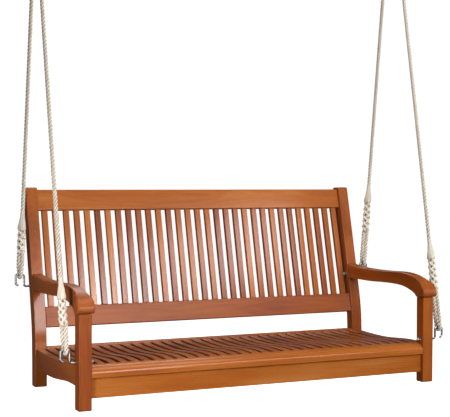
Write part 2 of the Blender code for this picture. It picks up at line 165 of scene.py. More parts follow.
def add_softbox(name, way, target, size, power, spread=180, roll=0):
    """An area light at target + way that shines on target. Its size is width and height."""
    data = bpy.data.lights.new(name, "AREA")
    data.shape = "RECTANGLE"
    data.size, data.size_y = size
    data.energy = power
    data.spread = math.radians(spread)
    light = bpy.data.objects.new(name, data)
    bpy.context.scene.collection.objects.link(light)
    light.location = target + way
    aim = (-way).to_track_quat("-Z", "Y").to_matrix().to_4x4()
    light.rotation_euler = (aim @ Matrix.Rotation(math.radians(roll), 4, "Z")).to_euler()
    light.visible_camera = False


def add_world(light, backdrop):
    """White behind the object, and a dimmer light from it all round."""
    world = bpy.data.worlds.new("studio")
    bpy.context.scene.world = world
    world.use_nodes = True
    nodes, links = world.node_tree.nodes, world.node_tree.links
    nodes.clear()
    seen = nodes.new("ShaderNodeBackground")
    seen.inputs["Strength"].default_value = backdrop
    lighting = nodes.new("ShaderNodeBackground")
    lighting.inputs["Strength"].default_value = light
    for shader in (seen, lighting):
        shader.inputs["Color"].default_value = (1, 1, 1, 1)
    path = nodes.new("ShaderNodeLightPath")
    mix = nodes.new("ShaderNodeMixShader")
    out = nodes.new("ShaderNodeOutputWorld")
    links.new(path.outputs["Is Camera Ray"], mix.inputs["Fac"])
    links.new(lighting.outputs["Background"], mix.inputs[1])
    links.new(seen.outputs["Background"], mix.inputs[2])
    links.new(mix.outputs["Shader"], out.inputs["Surface"])


def add_floor():
    bpy.ops.mesh.primitive_plane_add(size=FLOOR_SIZE, location=at(0, 0.3, -FLOOR_BELOW_FEET))
    floor = bpy.context.object
    floor.name = "studio_floor"
    material = bpy.data.materials.new("studio_floor")
    material.use_nodes = True
    shader = material.node_tree.nodes["Principled BSDF"]
    shader.inputs["Base Color"].default_value = (0.80, 0.80, 0.80, 1)
    shader.inputs["Roughness"].default_value = 1.0
    shader.inputs["Emission Color"].default_value = (1, 1, 1, 1)
    shader.inputs["Emission Strength"].default_value = 0.97
    floor.data.materials.append(material)
    floor.visible_diffuse = False  # its glow doesn't light the object from below
    floor.visible_glossy = False


def spherical(azimuth, elevation, distance):
    """The way to a light, with the azimuth from straight ahead of the bench towards its right."""
    a, e = math.radians(azimuth), math.radians(elevation)
    return distance * Vector((math.sin(a) * math.cos(e), -math.cos(a) * math.cos(e), math.sin(e)))


def add_studio():
    add_camera()
    add_world(light=0.065, backdrop=1.05)
    back = at(0, 0.42, 0.40)
    seat = at(0, 0.20, 0.20)
    near_left = at(-HALF_WIDTH, 0, 0.20)
    # the slats mirror this one: it makes the pale sheen across the back
    add_softbox("sheen_softbox", spherical(24.6, 21.0, 3.6), back, size=(1.50, 0.46), power=21, roll=2)
    add_softbox("key_softbox", spherical(6, 14, 4.4), seat, size=(2.0, 1.6), power=101)
    add_softbox("right_softbox", spherical(62, 18, 4.2), seat, size=(1.6, 1.6), power=46)
    add_softbox("top_softbox", spherical(0, 80, 2.6), seat, size=(2.4, 1.6), power=30)
    add_softbox("rear_softbox", spherical(160, 6, 4.0), seat, size=(3.2, 1.4), power=0.8)
    add_softbox("back_softbox", spherical(168, 38, 4.0), seat, size=(2.2, 1.6), power=50)
    left_way = Vector((-1.3, -0.95, 0.1))
    add_softbox("left_softbox", left_way, near_left, size=(0.5, 0.9), power=2.2, spread=45)
    add_floor()
    bpy.context.scene.view_settings.view_transform = "Standard"


# ---- node helpers ----------------------------------------------------------------------
class Shader:
    """A material's node tree with short ways to add nodes."""

    def __init__(self, name):
        self.material = bpy.data.materials.new(name)
        self.material.use_nodes = True
        self.tree = self.material.node_tree
        self.surface = self.tree.nodes["Principled BSDF"]

    def node(self, kind, inputs=(), **settings):
        made = self.tree.nodes.new("ShaderNode" + kind)
        for key, value in settings.items():
            setattr(made, key, value)
        for key, value in dict(inputs).items():
            self.feed(made.inputs[key], value)
        return made

    def feed(self, socket, value):
        if isinstance(value, bpy.types.NodeSocket):
            self.tree.links.new(value, socket)
        else:
            socket.default_value = value

    def math(self, operation, a, b=0.0, clamp=False):
        return self.node("Math", {0: a, 1: b}, operation=operation, use_clamp=clamp).outputs[0]

    def scaled(self, vector, scale):
        return self.node("VectorMath", {0: vector, 1: scale}, operation="MULTIPLY").outputs[0]

    def attribute(self, name, output="Fac"):
        return self.node("Attribute", attribute_name=name).outputs[output]

    def noise(self, vector, scale=1.0, detail=2.0, roughness=0.5):
        inputs = {"Vector": vector, "Scale": scale, "Detail": detail, "Roughness": roughness}
        return self.node("TexNoise", inputs).outputs["Fac"]

    def ramp(self, value, stops):
        made = self.node("ValToRGB", {"Fac": value})
        elements = made.color_ramp.elements
        while len(elements) < len(stops):
            elements.new(0.5)
        for element, (place, colour) in zip(elements, stops):
            element.position = place
            element.color = (*colour, 1)
        return made.outputs["Color"]

    def mix(self, share, a, b):
        """A mix of two colours. The Mix node has several sockets of one name, so these are numbers."""
        made = self.node("Mix", {"Factor": share, 6: a, 7: b}, data_type="RGBA")
        return made.outputs[2]

    def bump(self, height, strength, distance):
        inputs = {"Height": height, "Strength": strength, "Distance": distance}
        return self.node("Bump", inputs).outputs["Normal"]


# ---- materials -------------------------------------------------------------------------
DARK_WOOD = (0.120, 0.022, 0.006)
RED_WOOD = (0.255, 0.051, 0.006)
MID_WOOD = (0.400, 0.104, 0.010)
TAN_WOOD = (0.560, 0.215, 0.050)
PORE_BROWN = (0.11, 0.032, 0.014, 1)
RING_WAVES = 900.0  # radians of growth ring in each metre from the pith: one ring every 7 mm
RING_WAVER = 0.045  # metres
RING_CONTRAST = 0.030

ROPE_TAN = (0.56, 0.46, 0.33)
ROPE_CREAM = (0.77, 0.70, 0.58)
ROPE_WHITE = (0.92, 0.89, 0.82)
# painted shade: the brown that the rope's colour darkens towards between its strands
GROOVE_SHADE_BROWN = (0.33, 0.23, 0.13, 1)


def oiled_hardwood(name, coat, coat_roughness):
    """Hardwood under oil. The attribute grain is a point of the log that the board was cut from,
    with x along its pith, and tone runs from 0, dark and red, to 1, pale and tan."""
    s = Shader(name)
    grain = s.attribute("grain", "Vector")
    tone = s.attribute("tone")
    wander = s.noise(s.scaled(grain, (2.6, 11, 11)), detail=2)
    flame = s.noise(s.scaled(grain, (3.5, 60, 60)), detail=3, roughness=0.55)
    streaks = s.noise(s.scaled(grain, (9, 520, 520)), detail=3, roughness=0.6)
    pores = s.noise(s.scaled(grain, (85, 2300, 2300)), detail=1)

    log = s.node("SeparateXYZ", {0: grain})
    across = s.math("POWER", log.outputs["Y"], 2.0)
    deep = s.math("POWER", log.outputs["Z"], 2.0)
    from_pith = s.math("SQRT", s.math("ADD", across, deep))
    waver = s.math("MULTIPLY", wander, RING_WAVER)
    rings = s.math("SINE", s.math("MULTIPLY", s.math("ADD", from_pith, waver), RING_WAVES))
    rings = s.math("MULTIPLY", rings, RING_CONTRAST)

    level = s.math("MULTIPLY", tone, 0.62)
    for part, weight in ((wander, 0.42), (flame, 0.40), (streaks, 0.20)):
        level = s.math("ADD", level, s.math("MULTIPLY", s.math("SUBTRACT", part, 0.5), weight))
    level = s.math("ADD", s.math("ADD", level, rings), 0.19, clamp=True)
    colour = s.ramp(level, ((0.0, DARK_WOOD), (0.30, RED_WOOD), (0.58, MID_WOOD), (0.95, TAN_WOOD)))
    pits = s.ramp(pores, ((0.30, (1, 1, 1)), (0.40, (0, 0, 0))))
    colour = s.mix(s.math("MULTIPLY", pits, 0.45), colour, PORE_BROWN)
    s.feed(s.surface.inputs["Base Color"], colour)
    rough = s.math("ADD", s.math("MULTIPLY", flame, 0.16), 0.34)
    s.feed(s.surface.inputs["Roughness"], s.math("ADD", rough, s.math("MULTIPLY", pits, 0.2)))
    s.surface.inputs["Specular IOR Level"].default_value = 0.12
    s.surface.inputs["Coat Weight"].default_value = coat
    s.surface.inputs["Coat Roughness"].default_value = coat_roughness
    height = s.math("SUBTRACT", s.math("MULTIPLY", streaks, 0.5), pits)
    s.feed(s.surface.inputs["Normal"], s.bump(height, 0.35, 0.00035))
    return s.material


def bright_zinc():
    s = Shader("bright_zinc")
    place = s.node("TexCoord").outputs["Object"]
    cloud = s.noise(place, scale=220, detail=3)
    specks = s.noise(place, scale=2600, detail=1)
    colour = s.mix(cloud, (0.30, 0.30, 0.31, 1), (0.50, 0.50, 0.50, 1))
    s.feed(s.surface.inputs["Base Color"], colour)
    s.feed(s.surface.inputs["Roughness"], s.math("ADD", s.math("MULTIPLY", cloud, 0.20), 0.20))
    s.surface.inputs["Metallic"].default_value = 1.0
    s.feed(s.surface.inputs["Normal"], s.bump(specks, 0.12, 0.0002))
    return s.material


def rope_fibre():
    """Pale twisted fibre. The attribute lay holds the distance along the rope, the distance round it and
    a number of the rope or strand, and groove_shade runs from 0 to 1 between the strands, where it
    darkens the colour: painted shade in the crevices."""
    s = Shader("rope_fibre")
    lay = s.attribute("lay", "Vector")
    groove_shade = s.attribute("groove_shade")
    yarns = s.noise(s.scaled(lay, (28, 900, 900)), detail=2, roughness=0.6)
    fibres = s.noise(s.scaled(lay, (90, 4200, 4200)), detail=2, roughness=0.6)
    patches = s.noise(s.scaled(lay, (26, 60, 60)), detail=2)
    level = s.math("ADD", s.math("MULTIPLY", yarns, 0.45), s.math("MULTIPLY", fibres, 0.3))
    level = s.math("ADD", level, s.math("MULTIPLY", patches, 0.35))
    colour = s.ramp(level, ((0.28, ROPE_TAN), (0.5, ROPE_CREAM), (0.78, ROPE_WHITE)))
    # painted shade: darker brown where the strands' crevices lie in shadow
    colour = s.mix(s.math("MULTIPLY", groove_shade, 0.80), colour, GROOVE_SHADE_BROWN)
    s.feed(s.surface.inputs["Base Color"], colour)
    s.surface.inputs["Roughness"].default_value = 0.85
    s.surface.inputs["Specular IOR Level"].default_value = 0.25
    s.surface.inputs["Sheen Weight"].default_value = 0.35
    s.surface.inputs["Sheen Roughness"].default_value = 0.5
    height = s.math("ADD", s.math("MULTIPLY", yarns, 0.8), s.math("MULTIPLY", fibres, 0.35))
    s.feed(s.surface.inputs["Normal"], s.bump(height, 0.6, 0.0006))
    return s.material


# ---- piece helpers ---------------------------------------------------------------------
dice = random.Random(7)


def add_attribute(mesh, name, kind, values):
    layer = mesh.attributes.new(name, kind, "POINT")
    field = "vector" if kind == "FLOAT_VECTOR" else "value"
    layer.data.foreach_set(field, np.asarray(values, np.float32).ravel())


def weigh_normals(mesh):
    """Shades smooth, with each vertex's normal led by its largest faces, so flats stay flat."""
    mesh.shade_smooth()
    normals = np.zeros((len(mesh.vertices), 3))
    for face in mesh.polygons:
        normals[list(face.vertices)] += np.array(face.normal) * face.area
    length = np.linalg.norm(normals, axis=1, keepdims=True)
    mesh.normals_split_custom_set_from_vertices(normals / np.maximum(length, 1e-12))


def add_piece(name, mesh, material, body, replaced=()):
    """A visible piece. One that takes over the name of its CAD node is told apart by its ending."""
    piece = bpy.data.objects.new(f"{name}_finished" if name in replaced else name, mesh)
    bpy.context.scene.collection.objects.link(piece)
    mesh.materials.clear()
    mesh.materials.append(material)
    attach(piece, body)
    if replaced:
        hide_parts(*replaced)
    return piece


def give_grain(mesh, along, tone):
    """Wood coordinates: along is the direction of the fibres. Each board comes from its own log."""
    points = np.empty(len(mesh.vertices) * 3, np.float32)
    mesh.vertices.foreach_get("co", points)
    points = points.reshape(-1, 3).astype(float)
    x = Vector(along).normalized()
    z = x.cross(Vector((0, 1, 0.2))).normalized()
    y = z.cross(x)
    local = (points - points.mean(axis=0)) @ np.array([x, y, z]).T
    turn = dice.uniform(0, 2 * math.pi)
    from_pith = dice.uniform(0.05, 0.14)
    offset = (dice.uniform(0, 40), from_pith * math.cos(turn), from_pith * math.sin(turn))
    add_attribute(mesh, "grain", "FLOAT_VECTOR", local + offset)
    add_attribute(mesh, "tone", "FLOAT", np.full(len(points), tone))


def finish_edges(edit, edge):
    """Rounds every corner of more than 35 degrees and leaves the smooth outline as it is."""
    limit = math.radians(35)
    sharp = [e for e in edit.edges if len(e.link_faces) == 2 and e.calc_face_angle() > limit]
    bmesh.ops.bevel(
        edit, geom=sharp, offset=edge, segments=3, profile=0.5, affect="EDGES", clamp_overlap=True
    )


def closed_tube(edit, rings):
    """Joins rings of bmesh vertices, each with as many, into a closed tube with flat ends."""
    size = len(rings[0])
    for a, b in zip(rings, rings[1:]):
        for k in range(size):
            j = (k + 1) % size
            edit.faces.new((a[k], a[j], b[j], b[k]))
    edit.faces.new(rings[0])
    edit.faces.new(rings[-1])
    bmesh.ops.recalc_face_normals(edit, faces=edit.faces)


def as_mesh(name, edit):
    """A mesh of a bmesh, which it uses up."""
    mesh = bpy.data.meshes.new(name)
    edit.to_mesh(mesh)
    edit.free()
    return mesh


def extruded(outline, low_x, high_x, edge):
    """A closed (y, z) outline of the bench's frame, drawn out along x, with rounded edges."""
    edit = bmesh.new()
    rings = []
    for x in (low_x, high_x):
        rings.append([edit.verts.new(at(x, y, z)) for y, z in outline])
    closed_tube(edit, rings)
    finish_edges(edit, edge)
    return as_mesh("extruded", edit)


def wooden(name, mesh, along, tone, replaced=None, material=None):
    """A board in place of the CAD node of its own name, or of replaced."""
    mesh.name = name
    give_grain(mesh, along, tone)
    weigh_normals(mesh)
    return add_piece(name, mesh, material or wood, SWING, (replaced or name,))


# ---- the bench's lines, as in the CAD model --------------------------------------------
def rear_face(height):
    """How far back a rear post's rear face is, at a height over the feet."""
    above = height - BEND_HEIGHT
    return DEPTH + RAKE / 2 * (above + math.hypot(above, BEND_SPREAD))


def on_back(along, behind):
    """(y, z) at a distance up the raked back and a distance behind the rear posts' faces."""
    foot = DEPTH - POST - RAKE * BEND_HEIGHT
    lean, rise = math.sin(RAKE_ANGLE), math.cos(RAKE_ANGLE)
    return foot + along * lean + behind * rise, along * rise - behind * lean


def seat_height(back):
    """Height of the seat's top surface at a distance back from the front posts' faces."""
    if back < SEAT_DIP:
        wave = math.cos(math.pi * (back - SEAT_CREST) / (SEAT_DIP - SEAT_CREST))
        return SEAT_MEAN + SEAT_SWELL * wave
    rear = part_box("seat_slats")[1].y - BENCH.y
    return SEAT_MEAN - SEAT_SWELL + SEAT_REAR_RISE * ((back - SEAT_DIP) / (rear - SEAT_DIP)) ** 2


def smoothstep(t):
    t = min(max(t, 0.0), 1.0)
    return t * t * (3 - 2 * t)


def spline(points, count):
    """count points at even parameter steps along a Catmull-Rom curve through the given ones."""
    ends = [Vector(p) for p in (points[0], *points, points[-1])]
    line = []
    for k in range(count):
        u = k / (count - 1) * (len(points) - 1)
        i = min(int(u), len(points) - 2)
        t = u - i
        p, q, r, s = ends[i : i + 4]
        bend = (2 * p - 5 * q + 4 * r - s) * t**2
        twist = (3 * q - p - 3 * r + s) * t**3
        line.append(0.5 * (2 * q + (r - p) * t + bend + twist))
    return line


def arc(centre, radii, start, end, steps):
    """Points of an elliptical arc, angles in degrees."""
    found = []
    for i in range(steps + 1):
        angle = math.radians(start + (end - start) * i / steps)
        found.append((centre[0] + radii[0] * math.cos(angle), centre[1] + radii[1] * math.sin(angle)))
    return found


# ---- posts and rails -------------------------------------------------------------------
UP, BACK, ACROSS = (0, 0, 1), (0, 1, 0), (1, 0, 0)
LEANING = (0, math.sin(RAKE_ANGLE), math.cos(RAKE_ANGLE))


def span_of(node):
    """A node's lowest and highest corners in the bench's own frame."""
    low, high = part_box(node)
    return low - BENCH, high - BENCH


def add_front_post(name, tone):
    low, high = span_of(name)
    ease = 0.003
    outline = [
        (low.y + ease, low.z),
        (high.y - ease, low.z),
        (high.y, low.z + ease),
        (high.y, high.z),
        (low.y, high.z),
        (low.y, low.z + ease),
    ]
    wooden(name, extruded(outline, low.x, high.x, edge=0.0022), UP, tone, material=handled_wood)


def add_rear_post(name, tone):
    low, high = span_of(name)
    ease = 0.005
    bend = [BEND_HEIGHT + BEND_SPREAD * k / 4 for k in range(-10, 11)]
    heights = [ease, *(z for z in bend if ease < z < high.z - ease), high.z - ease]
    front = [(rear_face(z) - POST, z) for z in heights]
    back = [(rear_face(z), z) for z in heights]
    foot = [(back[0][0] - 0.003, 0), (front[0][0] + 0.003, 0)]
    crown = [(front[-1][0] + ease, high.z), (back[-1][0] - ease, high.z)]
    outline = [*foot, *front, *crown, *reversed(back)]
    wooden(name, extruded(outline, low.x, high.x, edge=0.0022), UP, tone)


def raked_outline(span, recess, thickness, tilt=0.0):
    """A board of the back from the side. tilt is how much further back its top lies, in metres."""
    return [
        on_back(span[0], recess - tilt / 2),
        on_back(span[1], recess + tilt / 2),
        on_back(span[1], recess + thickness + tilt / 2),
        on_back(span[0], recess + thickness - tilt / 2),
    ]


def add_back(tones):
    for name, span, tone, material in (
        ("back_top_rail", TOP_RAIL_SPAN, 0.64, wood),
        ("back_bottom_rail", BOTTOM_RAIL_SPAN, 0.33, handled_wood),
    ):
        low, high = span_of(name)
        outline = raked_outline(span, BACK_RAIL_RECESS, BACK_RAIL_THICKNESS)
        wooden(name, extruded(outline, low.x, high.x, edge=0.0025), ACROSS, tone, material=material)
    span = (BOTTOM_RAIL_SPAN[1], TOP_RAIL_SPAN[0])
    for index in range(BACK_SLATS):
        name = f"back_slat_{index + 1:02d}"
        low, high = span_of(name)
        tilt = dice.uniform(-SLAT_TILT, SLAT_TILT)
        outline = raked_outline(span, BACK_SLAT_RECESS, BACK_SLAT_THICKNESS, tilt)
        mesh = extruded(outline, low.x, high.x, edge=0.0018)
        wooden(name, mesh, LEANING, tones[index])


def add_side_rail(name, tone):
    low, high = span_of(name)
    below_seat, steps = 0.003, 28
    backs = [low.y + (high.y - low.y) * k / steps for k in range(steps + 1)]
    top = [(back, seat_height(back) - below_seat) for back in backs]
    knots = [(low.y, 0.0676), (0.130, 0.0690), (0.220, 0.0615), (0.300, 0.0570), (high.y, 0.0580)]
    bottom = [tuple(p) for p in spline(knots, steps + 1)]
    wooden(name, extruded([*top, *reversed(bottom)], low.x, high.x, edge=0.0015), BACK, tone)


def add_front_apron(tone):
    """Its top front edge is rebated, so a line of shadow parts it from the nosing."""
    low, high = span_of("front_apron")
    rebate_back, rebate_foot = low.y + 0.005, high.z - 0.0022
    outline = [
        (low.y, low.z),
        (high.y, low.z),
        (high.y, high.z),
        (rebate_back, high.z),
        (rebate_back, rebate_foot),
        (low.y, rebate_foot),
    ]
    wooden("front_apron", extruded(outline, low.x, high.x, edge=0.001), ACROSS, tone)


def add_box_board(name, edge, tone):
    low, high = span_of(name)
    outline = [(low.y, low.z), (high.y, low.z), (high.y, high.z), (low.y, high.z)]
    wooden(name, extruded(outline, low.x, high.x, edge), ACROSS, tone)


# ---- seat ------------------------------------------------------------------------------
def add_front_nosing(tone):
    name = "seat_front_nosing"
    low, high = span_of(name)
    round_depth, round_height, ease, below_crown = 0.030, 0.0225, 0.0015, 0.0008
    crown = seat_height(high.y)
    centre = (round_depth, crown - below_crown - round_height)
    front = arc(centre, (round_depth, round_height), 180, 90, 14)
    outline = [(ease, low.z), (0, low.z + ease), *front, (high.y, crown), (high.y, low.z)]
    wooden(name, extruded(outline, low.x, high.x, edge=0.0012), ACROSS, tone)


def add_seat_slats(tones):
    """The front-to-back slats, and the two strips under their ends."""
    low, high = span_of("seat_slats")
    steps = 26
    backs = [low.y + (high.y - low.y) * k / steps for k in range(steps + 1)]
    top = [(back, seat_height(back)) for back in backs]
    under = [(back, seat_height(back) - SEAT_SLAT_THICKNESS) for back in backs]
    for index in range(SEAT_SLATS):
        middle = (index - (SEAT_SLATS - 1) / 2) * SEAT_SLAT_PITCH
        half = SEAT_SLAT_WIDTH / 2
        mesh = extruded([*top, *reversed(under)], middle - half, middle + half, edge=0.0018)
        name = f"seat_slat_{index + 1:02d}"
        wooden(name, mesh, BACK, tones[index], "seat_slats")
    for label, near in (("front", low.y), ("rear", high.y - SEAT_STRIP)):
        far = near + SEAT_STRIP
        upper = min(seat_height(near), seat_height(far)) - SEAT_SLAT_THICKNESS
        outline = [(near, low.z), (far, low.z), (far, upper), (near, upper)]
        mesh = extruded(outline, low.x, high.x, edge=0.001)
        wooden(f"seat_end_strip_{label}", mesh, ACROSS, 0.3, "seat_slats")


# ---- arms ------------------------------------------------------------------------------
def arm_half_width(back):
    flare = smoothstep((ARM_FLARE - back) / ARM_FLARE)
    return ARM_WIDTH / 2 + (ARM_FRONT_WIDTH - ARM_WIDTH) / 2 * flare


ARM_REST = FRONT_POST_HEIGHT + 0.0006  # height of the flat that rests on the front post
ARM_TOP = (  # (back, height) from near the rear post over the hump and down the nose
    (0.410, 0.3602),
    (0.330, 0.3580),
    (0.270, 0.3583),
    (0.220, 0.3594),
    (0.180, 0.3611),
    (0.145, 0.3618),
    (0.115, 0.3606),
    (0.090, 0.3580),
    (0.068, 0.3540),
    (0.047, 0.3485),
    (0.030, 0.3425),
    (0.014, 0.3348),
    (0.002, 0.3262),
    (-0.007, 0.3165),
    (-0.012, 0.3060),
    (ARM_FRONT, 0.2975),
)
ARM_UNDERSIDE = (  # as many points, each under one of the top's
    (0.410, 0.3154),
    (0.334, 0.3150),
    (0.270, 0.3171),
    (0.220, 0.3184),
    (0.180, 0.3183),
    (0.150, 0.3172),
    (0.128, 0.3152),
    (0.108, 0.3116),
    (0.088, 0.3064),
    (0.068, 0.3000),
    (0.052, 0.2940),
    (0.038, ARM_REST),
    (0.022, ARM_REST),
    (0.005, ARM_REST),
    (-0.006, 0.2887),
    (-0.012, 0.2945),
)


def arm_chains(count):
    """The arm's top line, down over its nose, and its underside, point for point."""
    rear_top, rear_bottom = 0.3675, 0.3160
    top = [(rear_face(rear_top) - POST, rear_top), *ARM_TOP]
    under = [(rear_face(rear_bottom) - POST, rear_bottom), *ARM_UNDERSIDE]
    return spline(top, count), spline(under, count)


def inward(chain, side):
    """Unit normals of a (y, z) line. side, 1 or -1, chooses which way they point."""
    found = []
    for i in range(len(chain)):
        step = (chain[min(i + 1, len(chain) - 1)] - chain[max(i - 1, 0)]).normalized()
        found.append(Vector((-step.y, step.x)) * side)
    return found


def rounded_front(aside, back, half):
    """Moves a point, aside of the arm's middle line, back to the nose's round-cornered plan."""
    front = ARM_FRONT
    over = aside - (half - ARM_CORNER)
    if over > 0:
        front += ARM_CORNER - math.sqrt(max(ARM_CORNER**2 - over**2, 0))
    soft = 0.002
    gap = back - front
    return front + (gap + math.hypot(gap, soft)) / 2 if gap < 4 * soft else back


def arm_row(chain_point, normal, order, half, radius):
    """(x, y, z) across the arm's top or underside. The row ends on the side of order, 1 or -1."""
    flat_steps, round_steps = 6, 5
    columns = [k / flat_steps for k in range(-flat_steps, flat_steps + 1)]
    angles = [math.radians(90 * (k + 1) / round_steps) for k in range(round_steps)]
    flat = [(c * order * (half - radius), 0.0) for c in columns]
    corner = [
        (order * (half - radius + radius * math.sin(a)), radius * (1 - math.cos(a))) for a in angles
    ]
    start = [(-x, inset) for x, inset in reversed(corner)]
    row = []
    for x, inset in (*start, *flat, *corner):
        place = chain_point + normal * inset
        row.append((x, rounded_front(abs(x), place.x, half), place.y))
    return row


def add_arm(name, side, tone):
    """Cross-sections with rounded corners along the arm, with the nose's corners rounded in plan."""
    count = 110
    top_edge, under_edge, nose_edge = 0.0048, 0.002, 0.0065
    top, under = arm_chains(count)
    down, up = inward(top, 1), inward(under, -1)
    middle = side * (HALF_WIDTH - POST / 2)
    edit = bmesh.new()
    rings = []
    for i in range(count):
        most = 0.45 * (top[i] - under[i]).length
        half = arm_half_width((top[i].x + under[i].x) / 2)
        nose = smoothstep((0.012 - under[i].x) / 0.016)
        low_edge = under_edge + (nose_edge - under_edge) * nose
        ring = [
            *arm_row(top[i], down[i], 1, half, min(top_edge, most)),
            *arm_row(under[i], up[i], -1, half, min(low_edge, most)),
        ]
        rings.append([edit.verts.new(at(middle + x, y, z)) for x, y, z in ring])
    closed_tube(edit, rings)
    bmesh.ops.remove_doubles(edit, verts=edit.verts, dist=2e-5)
    wooden(name, as_mesh(name, edit), BACK, tone, material=handled_wood)


# ---- metal -----------------------------------------------------------------------------
def bent_wire(corners, steps=8):
    """The centre line of a wire through corners, each (x, z, bend radius)."""
    line = [Vector(corners[0][:2])]
    for before, here, after in zip(corners, corners[1:], corners[2:]):
        corner = Vector(here[:2])
        back = (Vector(before[:2]) - corner).normalized()
        ahead = (Vector(after[:2]) - corner).normalized()
        reach = here[2] / math.tan(back.angle(ahead) / 2)
        start, end = corner + back * reach, corner + ahead * reach
        for i in range(steps + 1):
            t = i / steps
            line.append(start.lerp(corner, t).lerp(corner.lerp(end, t), t))
    return [*line, Vector(corners[-1][:2])]


def wire_mesh(name, points, radius, sides=16):
    """A round wire along points in one vertical plane, with a domed far end."""
    normal = (points[-1] - points[0]).cross(points[len(points) // 2] - points[0]).normalized()
    ahead = (points[-1] - points[-2]).normalized()
    places = [(p, radius) for p in points[:-1]]
    for turn in (0, 25, 50, 72):
        a = math.radians(turn)
        places.append((points[-1] - ahead * radius * 0.6 * (1 - math.sin(a)), radius * math.cos(a)))
    edit = bmesh.new()
    rings = []
    for i, (place, r) in enumerate(places):
        after = places[min(i + 1, len(places) - 1)][0]
        before = places[max(i - 1, 0)][0]
        aside = (after - before).normalized().cross(normal)
        ring = []
        for k in range(sides):
            a = 2 * math.pi * k / sides
            ring.append(edit.verts.new(place + (aside * math.cos(a) + normal * math.sin(a)) * r))
        rings.append(ring)
    closed_tube(edit, rings)
    mesh = as_mesh(name, edit)
    weigh_normals(mesh)
    return mesh


def turned(profile, sides):
    """A bmesh turned about the x axis from (x, radius) points. 6 sides make a hexagon."""
    edit = bmesh.new()
    rows = []
    for x, radius in profile:
        if radius < 1e-6:
            rows.append([edit.verts.new((x, 0, 0))])
            continue
        ring = [2 * math.pi * k / sides for k in range(sides)]
        rows.append([edit.verts.new((x, radius * math.cos(a), radius * math.sin(a))) for a in ring])
    for a, b in zip(rows, rows[1:]):
        for k in range(sides):
            j = (k + 1) % sides
            if len(a) == 1:
                edit.faces.new((a[0], b[j], b[k]))
            elif len(b) == 1:
                edit.faces.new((a[k], a[j], b[0]))
            else:
                edit.faces.new((a[k], a[j], b[j], b[k]))
    for row in (rows[0], rows[-1]):
        if len(row) > 2:
            edit.faces.new(row)
    bmesh.ops.recalc_face_normals(edit, faces=edit.faces)
    return edit


def joined(solids):
    """One bmesh of several, which it uses up."""
    whole = bmesh.new()
    for solid in solids:
        part = as_mesh("part", solid)
        whole.from_mesh(part)
        bpy.data.meshes.remove(part)
    return whole


def add_metal(name, mesh, body, node, sharp_angle):
    mesh.shade_smooth()
    mesh.set_sharp_from_angle(angle=math.radians(sharp_angle))
    add_piece(name, mesh, zinc, body, (node,))


def add_rope_hook(label, side, back, height):
    """A bent steel rod: a shank through the post, and outside it an arch that holds the rope down."""
    name = f"rope_hook_{label}"
    near = side * (ROPE_X - HOOK_ARCH_WIDTH / 2)
    far = side * (ROPE_X + HOOK_ARCH_WIDTH / 2)
    crown = height + HOOK_ARCH_HEIGHT
    corners = [
        (side * (INNER - 0.008), height, 0),
        (near, height, 0.007),
        (near, crown, 0.009),
        (far, crown, 0.009),
        (far, height + 0.008, 0.006),
        (far - side * 0.009, height + 0.002, 0),
    ]
    line = [at(x, back, z) for x, z in bent_wire(corners)]
    add_piece(name, wire_mesh(name, line, HOOK_WIRE), zinc, SWING, (name,))


def add_cap_nut(label, side, back, height):
    """A hexagon nut with a domed cap, and the washer behind it."""
    name = f"cap_nut_{label}"
    angles = np.radians([0, 20, 40, 60, 78, 90])
    dome = [(NUT_LENGTH - NUT_DOME + NUT_DOME * math.sin(a), NUT_DOME * math.cos(a)) for a in angles]
    hexagon = [
        (WASHER_THICKNESS, NUT_CORNER * 0.93),
        (WASHER_THICKNESS + 0.0006, NUT_CORNER),
        (0.0062, NUT_CORNER),
        (0.0068, NUT_CORNER * 0.9),
    ]
    washer = [
        (0.0, WASHER_RADIUS - 0.0004),
        (0.0003, WASHER_RADIUS),
        (WASHER_THICKNESS - 0.0003, WASHER_RADIUS),
        (WASHER_THICKNESS, WASHER_RADIUS - 0.0004),
    ]
    whole = joined([turned(hexagon, 6), turned([(0.0060, NUT_DOME), *dome], 24), turned(washer, 32)])
    towards_middle = Matrix.Identity(4) if side < 0 else Matrix.Rotation(math.pi, 4, "Z")
    whole.transform(Matrix.Translation(at(side * INNER, back, height)) @ towards_middle)
    add_metal(name, as_mesh(name, whole), SWING, name, 35)


def add_ceiling_hook(label, side):
    """An open hook welded under a round plate, with four screws in the plate."""
    name = f"ceiling_hook_{label}"
    middle = side * ROPE_X
    corners = [
        (0, CEILING_PLATE_BOTTOM + CEILING_PLATE_THICKNESS - 0.001, 0),
        (0, 0.050, 0.008),
        (0.026, 0.032, 0.008),
        (0.026, 0, 0.010),
        (-0.026, 0, 0.010),
        (-0.026, 0.024, 0.006),
        (-0.031, 0.036, 0),
    ]
    line = [Vector((middle - side * x, 0, z)) for x, z in bent_wire(corners)]
    add_piece(name, wire_mesh(name, line, CEILING_WIRE, 20), zinc, CEILING, (name,))

    eased_edge = ((0.0, 0.0018), (0.0008, 0.0006), (0.0018, 0.0))
    near = [(x, CEILING_PLATE_RADIUS - inset) for x, inset in eased_edge]
    far = [(CEILING_PLATE_THICKNESS - x, radius) for x, radius in reversed(near)]
    weld = [(-0.0016, 0.0046), (-0.0012, 0.0062), (0.0, 0.0075), (0.001, 0.0075)]
    screw = [(-0.0026, 0.0), (-0.0025, 0.0020), (-0.0018, 0.0040), (-0.0006, 0.0052), (0.0004, 0.0054)]
    places = [(turned([*near, *far], 64), 0.0, 0.0), (turned(weld, 24), 0.0, 0.0)]
    for quarter in range(4):
        angle = math.radians(45 + 90 * quarter)
        x, y = CEILING_SCREW_CIRCLE * math.cos(angle), CEILING_SCREW_CIRCLE * math.sin(angle)
        places.append((turned(screw, 24), x, y))
    up = Matrix.Rotation(-math.pi / 2, 4, "Y")
    for solid, x, y in places:
        solid.transform(Matrix.Translation((middle + x, y, CEILING_PLATE_BOTTOM)) @ up)
    plate = f"ceiling_plate_{label}"
    add_metal(plate, as_mesh(plate, joined([solid for solid, x, y in places])), CEILING, name, 40)


